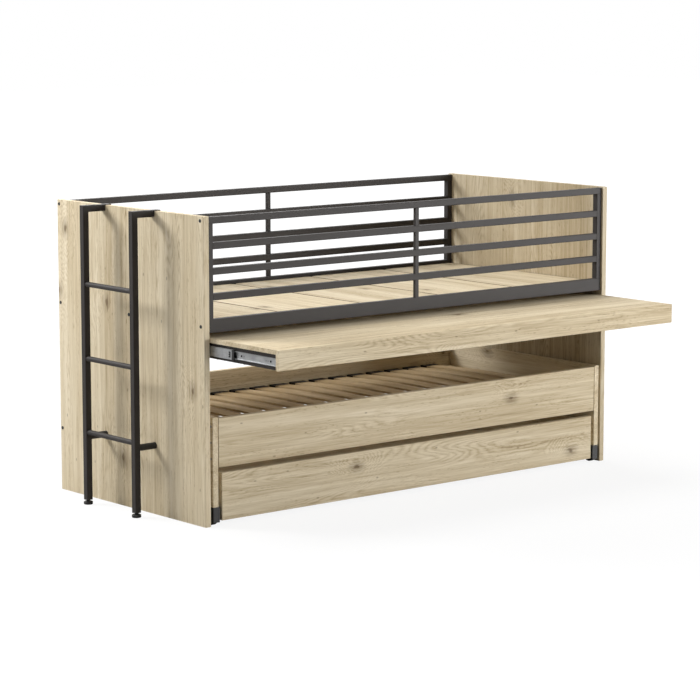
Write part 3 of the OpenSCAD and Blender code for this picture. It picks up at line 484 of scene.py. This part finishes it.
def ladder_welds():
    """Rings round the rungs where they meet the stiles, and the seams of the mitred corners."""
    front, back = "ladder_front_stile", "ladder_back_stile"
    mid_x = middle("ladder_rungs", X)
    rung_step, ring_points, ring_bead, ring_out = 283, 32, 1.6, 0.2
    rung_radius = (face("ladder_rungs", HIGH, X) - face("ladder_rungs", LOW, X)) / 2
    t = np.arange(ring_points) * 2 * math.pi / ring_points
    ring = (rung_radius + ring_out) * np.stack([np.cos(t), np.sin(t)], -1)
    rungs = [middle("ladder_rungs", Z) + i * rung_step for i in (-1, 0, 1)]
    ring_places = [(mid_x, y, z) for y in (face(front, HIGH, Y), face(back, LOW, Y)) for z in rungs]
    # A mitre cuts the square tube at 45 degrees, so its seam is longer one way by the root of 2. The
    # bead lies this far inside the tube's sides and inside the seam's two tips.
    side_in, tip_in, seam_bead, seam_corner = 0.5, 1.5, 0.9, 2.4
    half = math.sqrt(0.5)
    down = (half, 0, -half)
    seam = tube_outline(TUBE - 2 * side_in, TUBE / half - 2 * tip_in, seam_corner, count=52)
    seam_places = [(mid_x, middle(stile, Y), face(stile, HIGH, Z) - TUBE / 2) for stile in (front, back)]
    small_piece("ladder_welds", "bed_frame", graphite, [
        repeated(weld(ring, (X_ARROW, Z_ARROW), (0, -1, 0), ring_bead), ring_places),
        repeated(weld(seam, (Y_ARROW, down), (-half, 0, -half), seam_bead), seam_places)])


def desk_welds():
    """Beads where the side rails and the flat tubes meet the rear rail of the desk frame."""
    back_y = face("desk_cross_rails", HIGH, Y) - DESK_RAIL
    side_x = face("desk_side_rails", LOW, X) + DESK_RAIL / 2
    side_height = face("desk_side_rails", HIGH, Z) - face("desk_side_rails", LOW, Z)
    flat_z = face("desk_cross_rails", HIGH, Z) - FLAT_TUBE[1] / 2
    sides = [(x, back_y, middle("desk_side_rails", Z)) for x in mirrored(side_x)]
    flats = [(WIDTH * share, back_y, flat_z) for share in FLAT_TUBE_SHARES]
    axes = (X_ARROW, Z_ARROW)
    bead = 1.2
    upright = bead_outline(DESK_RAIL, side_height, count=60)
    small_piece("desk_frame_welds", "desk", graphite, [
        repeated(weld(upright, axes, (0, -1, 0), bead), sides),
        repeated(weld(bead_outline(*FLAT_TUBE), axes, (0, -1, 0), bead), flats)])


def screw_head(across, height, socket):
    """A domed screw head with a hexagon socket. It stands on z = 0, and its dome is a quarter
    ellipse from the rim up to the socket's edge."""
    r = across / 2
    lip = 0.35
    rim_share, floor_share = 0.35, 0.25
    a = np.linspace(0, 1, 5) * math.pi / 2
    dome_r = r - (r - socket / 2 - lip) * (1 - np.cos(a))
    dome_h = height * (rim_share + (1 - rim_share) * np.sin(a))
    dome = np.stack([dome_r, dome_h], -1)
    hole = [(socket / 2, height), (socket / 2, height * rim_share), (0, height * floor_share)]
    profile = [(0, -SUNK), (r * 0.92, -SUNK), (r, 0.1)] + dome.tolist() + hole
    flats = [0] * (len(profile) - 3) + [1, 1, 0]
    return turned(profile, flats=flats)


def rivet_head(across, height):
    """A domed rivet head on a thin washer: a quarter ellipse over a flat disc."""
    r = across / 2
    washer = 0.6
    a = np.linspace(0, 1, 6)[:-1] * math.pi / 2
    dome = np.stack([r * np.cos(a), washer + (height - washer) * np.sin(a)], -1)
    disc = [(0, -SUNK), (r * 1.3, -SUNK), (r * 1.35, 0.0), (r * 1.3, washer - 0.1), (r * 1.02, washer)]
    return turned(disc + dome.tolist() + [(0, height)])


ZINC_HEAD = screw_head(across=9.0, height=2.4, socket=3.5)


def slide_screws():
    """Black screws through the webs of the desk's slide members, in three of their round holes."""
    head = screw_head(across=7.4, height=2.2, socket=2.9)
    member = "left_slide_desk_member"
    sheet = 1.2
    web = face(member, HIGH, X) - sheet
    holes = [face(member, LOW, Y) + along for along in (37, 206, 366)]
    small_piece("desk_slide_screws", "desk", black_zinc, [
        repeated(head, [(x, y, middle(member, Z)) for y in holes], (way, 0, 0))
        for x, way in zip(mirrored(web), (-1, 1))])


def desk_top_screws():
    """Screws up through the side rails and the flat tubes into the desk top."""
    side_x = face("desk_side_rails", LOW, X) + DESK_RAIL / 2
    lines = [(x, face("desk_side_rails", LOW, Z)) for x in mirrored(side_x)]
    under_flat = face("desk_cross_rails", HIGH, Z) - FLAT_TUBE[1]
    lines += [(WIDTH * share, under_flat) for share in FLAT_TUBE_SHARES]
    first, last = 41, 63
    depths = np.linspace(face("desk_top", LOW, Y) + first, face("desk_top", HIGH, Y) - last, 4)
    small_piece("desk_top_screws", "desk", zinc, [
        repeated(ZINC_HEAD, [(x, y, z) for x, z in lines for y in depths], (0, 0, -1))])


def deck_screws():
    """Screws up through the steel angles into the deck boards, two at each end of a board."""
    boards = 5
    board = (WIDTH - 2 * PANEL) / boards
    across = [PANEL + board * (i + share) for i in range(boards) for share in (0.2, 0.8)]
    angle, inset = 3, 15
    under = face("deck_ledges", HIGH, Z) - angle
    depths = (face("deck_ledges", LOW, Y) + inset, face("deck_ledges", HIGH, Y) - inset)
    small_piece("deck_screws", "bed_frame", zinc, [
        repeated(ZINC_HEAD, [(x, y, under) for x in across for y in depths], (0, 0, -1))])


def slat_rail_screws():
    """Screws through the slat rails into the front and back boards of the lower bed."""
    rails = "trundle_slat_rails"
    thick, from_end, count = 25, 130, 7
    inner = (face(rails, LOW, Y) + thick, face(rails, HIGH, Y) - thick)
    across = np.linspace(from_end, WIDTH - from_end, count)
    small_piece("slat_rail_screws", "lower_bed", zinc, [
        repeated(ZINC_HEAD, [(x, y, middle(rails, Z)) for x in across], (0, way, 0))
        for y, way in zip(inner, (1, -1))])


def box_connectors():
    """Flush heads of the connecting screws in the outer faces of the lower bed's and drawer's sides,
    in upright rows with their heights above the floor."""
    head = screw_head(across=9.5, height=0.9, socket=4.0)
    corners = [middle("trundle_front", Y), middle("trundle_back", Y)]
    back = [middle("drawer_back", Y)]
    for name, body, side, depths, heights in (
            ("lower_bed_connectors", "lower_bed", "trundle_left_side", corners, (250, 310, 370)),
            ("drawer_connectors", "drawer", "drawer_sides", back, (80, 150))):
        small_piece(name, body, zinc, [
            repeated(head, [(x, y, z) for y in depths for z in heights], (way, 0, 0))
            for x, way in zip(mirrored(face(side, LOW, X)), (-1, 1))])


def lower_bed_rivets():
    """Rivet heads on both ends of each axle of the lower bed, proud of the castor housings."""
    head = rivet_head(across=8, height=2.4)
    axles = "trundle_castor_axles"
    housing = 30
    outer = face(axles, LOW, X)
    depths = [middle(wheels, Y) for wheels in ("trundle_front_wheels", "trundle_back_wheels")]
    ends = [*zip(mirrored(outer), (-1, 1)), *zip(mirrored(outer + housing), (1, -1))]
    small_piece("lower_bed_axle_rivets", "lower_bed", zinc, [
        repeated(head, [(x, y, middle(axles, Z)) for y in depths], (way, 0, 0)) for x, way in ends])


def drawer_rivets():
    """Rivet heads on both ends of each of the drawer's six axles, proud of the castor brackets."""
    head = rivet_head(across=6, height=2)
    axles = "drawer_castor_axles"
    half_wheel, clearance, bracket, axle_radius = 9, 0.8, 3, 2.5
    reach = half_wheel + clearance + bracket
    across = [face(axles, LOW, X) + reach, WIDTH / 2, face(axles, HIGH, X) - reach]
    depths = [face(axles, LOW, Y) + axle_radius, face(axles, HIGH, Y) - axle_radius]
    height = middle(axles, Z)
    small_piece("drawer_axle_rivets", "drawer", zinc, [
        repeated(head, [(x + way * reach, y, height) for x in across for y in depths], (way, 0, 0))
        for way in (-1, 1)])


def foot_threads():
    """Over each levelling foot a hexagon to turn it by and the thread of its stem. The thread's
    radius is 4.1 plus a triangle wave of the height in pitches of 1.25 less the share of a turn."""
    low, high, flat, sloped = 12.0, 16.0, 6.6, 6.1
    profile = [(0, low), (sloped, low), (flat, low + 0.8), (flat, high - 0.6), (sloped, high), (0, high)]
    nut = turned(profile, flats=[0, 0.6, 1, 1, 0.6, 0])
    start, end, radius, pitch, crest = 15.6, 17.8, 4.1, 1.25, 0.12
    sides, rows = 36, 17
    t = np.arange(sides) * 2 * math.pi / sides
    h = np.linspace(start, end, rows)
    wave = np.abs(((h[:, None] / pitch - t / (2 * math.pi)) % 1) * 2 - 1)
    points, faces = turned([(0, start)] + [(radius, z) for z in h] + [(0, end)], sides)
    points[1:-1, :2] *= (1 + wave * crest).reshape(-1, 1)
    for which in ("front", "back"):
        foot = "ladder_%s_foot" % which
        stem = [(middle("ladder_rungs", X), middle("ladder_%s_stile" % which, Y), 0)]
        small_piece(foot + "_thread", foot, black_zinc,
                    [repeated(shape, stem) for shape in (nut, (points, faces))])


def cap_ribs():
    """Three grip ribs on top of each slat cap: half-round bars whose ends are rounded off by the
    sine of the way along them."""
    length, sides, rings = 26, 8, 7
    a = np.arange(sides) * 2 * math.pi / sides
    along = np.linspace(0, math.pi, rings + 2)[1:-1, None]
    reach = np.sin(along) ** 0.3
    height = np.broadcast_to(length / 2 * (1 - np.cos(along)), (rings, sides))
    points, faces = turned([(0, 0)] + [(1, 1)] * rings + [(0, length)], sides)
    points[1:-1] = np.stack([reach * np.cos(a), reach * np.sin(a), height], -1).reshape(-1, 3)
    count, half_slat, from_board, sunk, apart = 17, 35, 6, 0.2, 22
    slats, rails = "trundle_slats", "trundle_slat_rails"
    slat_x = np.linspace(face(slats, LOW, X) + half_slat, face(slats, HIGH, X) - half_slat, count)
    starts = (face(rails, LOW, Y) + from_board, face(rails, HIGH, Y) - from_board - length)
    top = face("slat_end_caps", HIGH, Z) - sunk
    places = [(x + i * apart, y, top) for x in slat_x for i in (-1, 0, 1) for y in starts]
    small_piece("slat_cap_ribs", "lower_bed", black_nylon,
                [repeated((points, faces), places, Y_ARROW)])


guard_welds()
ladder_welds()
desk_welds()
slide_screws()
desk_top_screws()
deck_screws()
slat_rail_screws()
box_connectors()
lower_bed_rivets()
drawer_rivets()
foot_threads()
cap_ribs()


# Stage: a white floor that keeps the shadow, soft light, and the camera

def white_floor():
    """A pale matt floor. Seen by the camera it is mostly plain white, so that only a faint
    shadow of the bed shows on it, and from 4 m out it is white throughout."""
    half = 30.0
    below = 0.4 * MM
    mesh = bpy.data.meshes.new("studio_floor")
    corners = [(-half, -half, 0), (half, -half, 0), (half, half, 0), (-half, half, 0)]
    mesh.from_pydata(corners, [], [(0, 1, 2, 3)])
    floor = bpy.data.objects.new("studio_floor", mesh)
    bpy.context.scene.collection.objects.link(floor)
    floor.location.z = -below
    made = bpy.data.materials.new("white_studio_floor")
    tree = empty_tree(made)
    matt = add(tree, "BsdfDiffuse", Color=(0.5, 0.5, 0.5, 1))
    glow = add(tree, "Emission", Color=(1, 1, 1, 1), Strength=1.14)
    seen = add(tree, "LightPath").outputs["Is Camera Ray"]
    here = add(tree, "TexCoord").outputs["Object"]
    distance = add(tree, "VectorMath", here, operation="LENGTH").outputs["Value"]
    white = add(tree, "MapRange", distance, From_Min=1.7, From_Max=4.0, To_Min=0.78, To_Max=1.0,
                interpolation_type="SMOOTHSTEP")
    share = add(tree, "Math", seen, white, operation="MULTIPLY")
    add(tree, "OutputMaterial", add(tree, "MixShader", share, matt, glow))
    mesh.materials.append(made)


def studio_world(strength):
    """An even white room: it lights the object at this strength and looks plain white to the
    camera, in reflections and through glass."""
    world = bpy.data.worlds.new("studio_world")
    tree = empty_tree(world)
    rays = add(tree, "LightPath").outputs
    seen = add(tree, "Math", rays["Is Camera Ray"], rays["Is Glossy Ray"], operation="MAXIMUM")
    seen = add(tree, "Math", seen, rays["Is Transmission Ray"], operation="MAXIMUM")
    level = add(tree, "MapRange", seen, To_Min=strength, To_Max=1.0)
    add(tree, "OutputWorld", add(tree, "Background", Color=(1, 1, 1, 1), Strength=level))
    bpy.context.scene.world = world


def soft_lamp(name, level, spread, way, aim, away):
    """A round soft box that shines along way at the place aim, this many metres away from it and
    spread degrees wide as seen from there. A white surface at aim that faces it shows at this
    level, where 1 is full white: the power is level times pi squared times the distance squared."""
    lamp = bpy.data.lights.new(name, "AREA")
    lamp.shape = "DISK"
    lamp.size = 2 * away * math.tan(math.radians(spread / 2))
    lamp.energy = level * (math.pi * away) ** 2
    line = Vector(way).normalized()
    made = bpy.data.objects.new(name, lamp)
    made.rotation_mode = "QUATERNION"
    made.rotation_quaternion = line.to_track_quat("-Z", "Y")
    made.location = Vector(aim) - line * away
    bpy.context.scene.collection.objects.link(made)


def studio_camera():
    """The photograph's viewpoint: 2 m up, a little more than 9 m off the front left corner, with a
    long lens. yaw turns it from +Y towards +X, and pitch turns it down."""
    picture_px = 700
    focal_px = 2570.6
    yaw, pitch = 0.6962, 0.1452
    eye = Vector((-6.4727, -7.6688, 2.0018))
    look = Vector((math.sin(yaw) * math.cos(pitch), math.cos(yaw) * math.cos(pitch), -math.sin(pitch)))
    lens = bpy.data.cameras.new("studio_camera")
    lens.sensor_width = 36.0
    lens.lens = focal_px * lens.sensor_width / picture_px
    lens.clip_start = 0.1
    lens.clip_end = 100
    camera = bpy.data.objects.new("studio_camera", lens)
    camera.rotation_mode = "QUATERNION"
    camera.rotation_quaternion = look.to_track_quat("-Z", "Y")
    camera.location = eye
    bpy.context.scene.collection.objects.link(camera)
    bpy.context.scene.camera = camera


white_floor()
studio_world(strength=0.14)
# The ladder's shadows on the left panel give the key lamp's way: 87 mm in, 105 to the front, 100 down
soft_lamp("key_lamp", level=0.87, spread=20, way=(87, -105, -100), aim=(-0.98, 0.2, 0.6), away=4)
soft_lamp("overhead_lamp", level=0.7, spread=35, way=(10, -25, -100), aim=(0, 0, 0.72), away=16)
soft_lamp("back_lamp", level=0.45, spread=40, way=(-30, -150, -60), aim=(0, -0.1, 0.72), away=8)
soft_lamp("front_right_lamp", level=1.5, spread=40, way=(-75, 60, -4), aim=(0, -0.4, 0.4), away=9)
studio_camera()
bpy.context.scene.view_settings.view_transform = "Standard"
